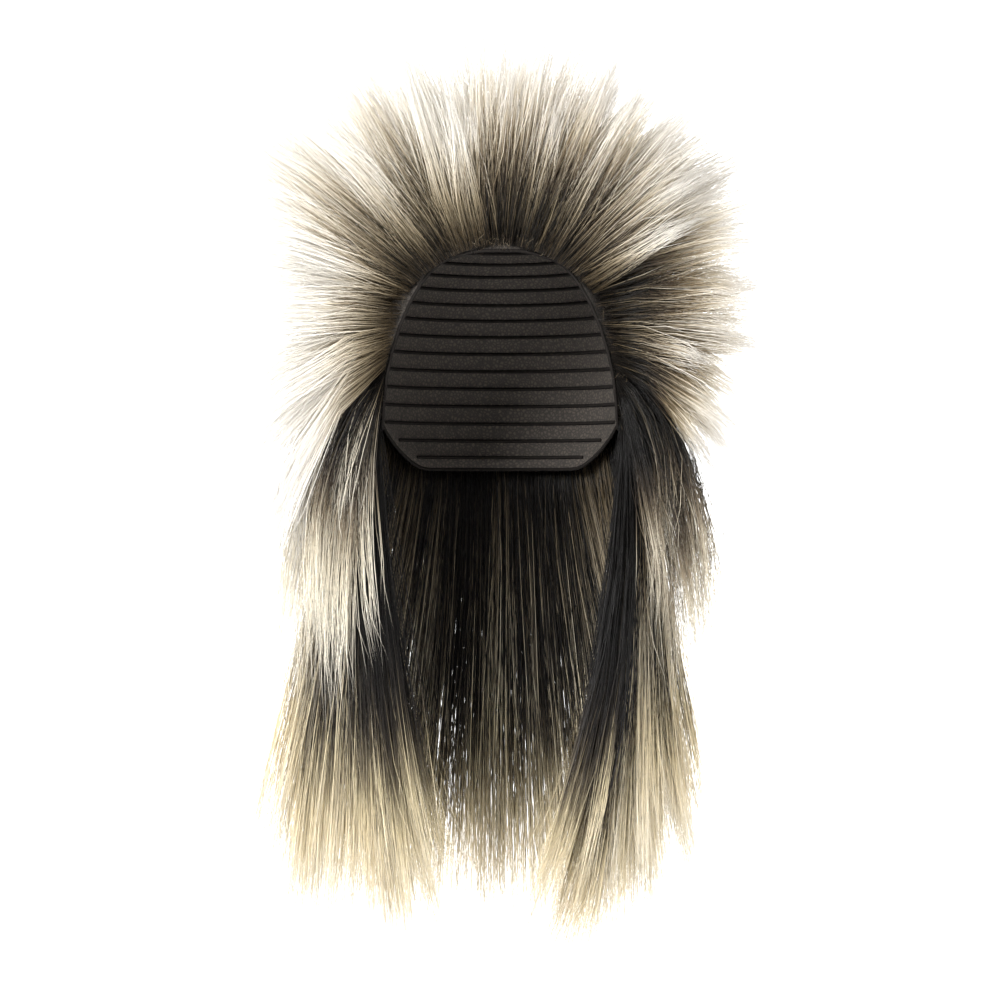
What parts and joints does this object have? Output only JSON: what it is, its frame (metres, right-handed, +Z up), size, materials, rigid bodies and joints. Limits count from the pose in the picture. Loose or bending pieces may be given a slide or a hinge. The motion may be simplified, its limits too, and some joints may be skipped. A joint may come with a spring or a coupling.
{
  "type": "mullet wig",
  "caption": "Spiky rock mullet wig with a hollow net cap, dark roots, a teased fan on top, a mid layer and long blonde-tipped lengths.",
  "frame": {"origin": "inside top of the cap, where it sits on the crown of a head", "axes": "+Z up, the face opening towards -Y, +X towards the viewer's right in the picture"},
  "size_m": [0.3119, 0.2469, 0.558],
  "materials": {
    "cap_net": "matt dark elastic net with sewn wefts",
    "spiked_hair": "synthetic hair, near-black roots, grey-brown middle, platinum blonde tips",
    "layered_hair": "synthetic hair, dark at the root and platinum blonde at the ends",
    "long_hair": "synthetic hair, dark with pale streaks and yellow-blonde ends"
  },
  "bodies": {
    "root": {"cap": "cap_net", "crown_front_spikes": "spiked_hair", "crown_back_spikes": "spiked_hair", "left_side_spikes": "spiked_hair", "right_side_spikes": "spiked_hair", "back_spikes": "spiked_hair", "left_mid_layer": "layered_hair", "right_mid_layer": "layered_hair", "back_mid_layer": "layered_hair", "left_long_lengths": "long_hair", "right_long_lengths": "long_hair", "back_long_lengths": "long_hair"}
  },
  "joints": []
}
